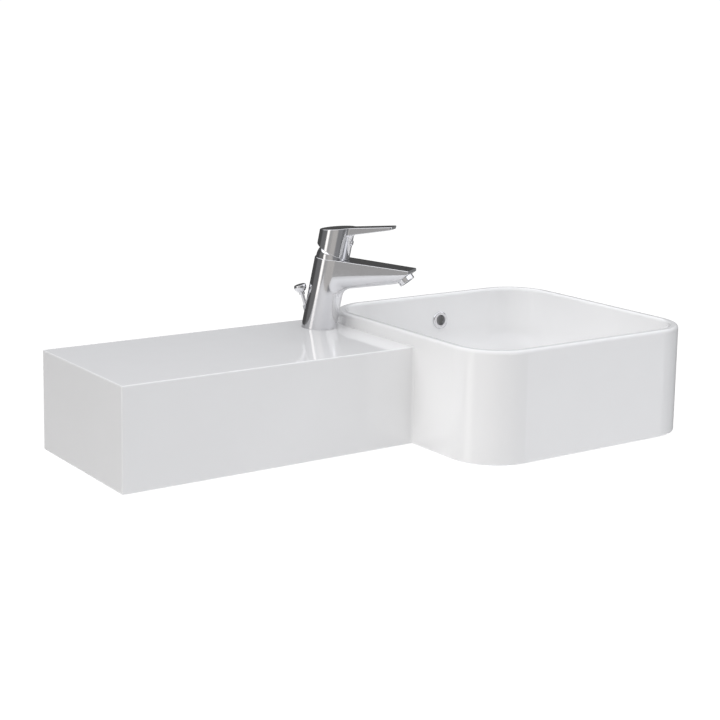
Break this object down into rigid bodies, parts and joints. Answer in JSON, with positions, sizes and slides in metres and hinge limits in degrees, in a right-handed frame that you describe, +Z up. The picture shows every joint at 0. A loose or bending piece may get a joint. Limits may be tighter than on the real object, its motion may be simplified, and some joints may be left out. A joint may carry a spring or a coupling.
{
  "type": "wall-hung basin",
  "caption": "Wall-hung ceramic basin: a square round-cornered bowl with a low shelf beside it, a single-lever tap on the shelf turned towards the bowl, and a pop-up waste worked by a lift rod.",
  "frame": {"origin": "on the wall plane, midway between the two wall bolt holes", "axes": "+X to the right seen from the front, +Y into the wall, +Z up"},
  "size_m": [0.85, 0.4, 0.3555],
  "materials": {
    "ceramic": "gloss glaze",
    "chrome": "polished",
    "chrome_plug": "polished",
    "brass": "machined",
    "steel": "machined",
    "disc_ceramic": "lapped",
    "grey_plastic": "moulded",
    "black_plastic": "moulded",
    "rubber": "matte"
  },
  "bodies": {
    "fixed": {"aerator_housing": "chrome", "aerator_insert": "grey_plastic", "aerator_seal": "rubber", "basin": "ceramic", "cartridge_base_seal": "rubber", "cartridge_housing": "grey_plastic", "cartridge_nut": "brass", "deck_gasket": "rubber", "dome_collar": "chrome", "fixed_disc": "disc_ceramic", "flange_seal": "rubber", "friction_washer": "grey_plastic", "horseshoe_washer": "steel", "lock_nut": "brass", "lower_seal": "rubber", "mounting_nuts": "brass", "mounting_studs": "steel", "overflow_ring": "chrome", "pivot_nut": "black_plastic", "pivot_seal": "grey_plastic", "rod_bush": "grey_plastic", "tailpiece": "chrome", "tap_base_ring": "rubber", "tap_body": "chrome", "waste_body": "brass", "waste_flange": "chrome"},
    "swivel": {"cartridge_rotor": "grey_plastic", "cartridge_pin": "steel"},
    "lever": {"handle": "chrome", "cartridge_stem": "steel", "handle_screw": "steel", "screw_plug": "chrome_plug"},
    "disc": {"moving_disc": "disc_ceramic"},
    "lift": {"lift_knob": "chrome", "lift_rod": "chrome", "rod_clamp": "brass", "clamp_screws": "steel"},
    "pivot_arm": {"pivot_rod": "steel", "rod_clip": "steel"},
    "plug": {"plug": "chrome", "plug_seal": "rubber", "plug_stem": "grey_plastic"}
  },
  "joints": [
    {"name": "lever_swivel", "type": "hinge", "parent": "fixed", "child": "swivel", "pos_m": [-0.0031, -0.07417, 0.18721], "axis": [0.1019, -0.1511, 0.9833], "range_deg": [-45, 45]},
    {"name": "lever_tilt", "type": "hinge", "parent": "swivel", "child": "lever", "pos_m": [-0.0031, -0.07417, 0.18721], "axis": [-0.829, -0.5592, 0], "range_deg": [0, 25]},
    {"name": "disc_shift", "type": "slide", "parent": "swivel", "child": "disc", "axis": [0.5498, -0.8152, -0.1822], "range_m": [0, 0.0072]},
    {"name": "lift_rod_slide", "type": "slide", "parent": "fixed", "child": "lift", "axis": [-0.247, 0.1468, 0.9578], "range_m": [0, 0.04]},
    {"name": "pivot_rod_swing", "type": "hinge", "parent": "fixed", "child": "pivot_arm", "pos_m": [0.19921, -0.18468, -0.08], "axis": [0.5108, 0.8597, 0], "range_deg": [0, 10.45]},
    {"name": "plug_slide", "type": "slide", "parent": "fixed", "child": "plug", "axis": [0, 0, -1], "range_m": [0, 0.00547]}
  ],
  "couplings": [
    {"joint": "disc_shift", "follows": "lever_tilt", "m_per_rad": 0.016498},
    {"joint": "pivot_rod_swing", "follows": "lift_rod_slide", "rad_per_m": 4.56},
    {"joint": "plug_slide", "follows": "lift_rod_slide", "ratio": 0.13661}
  ]
}
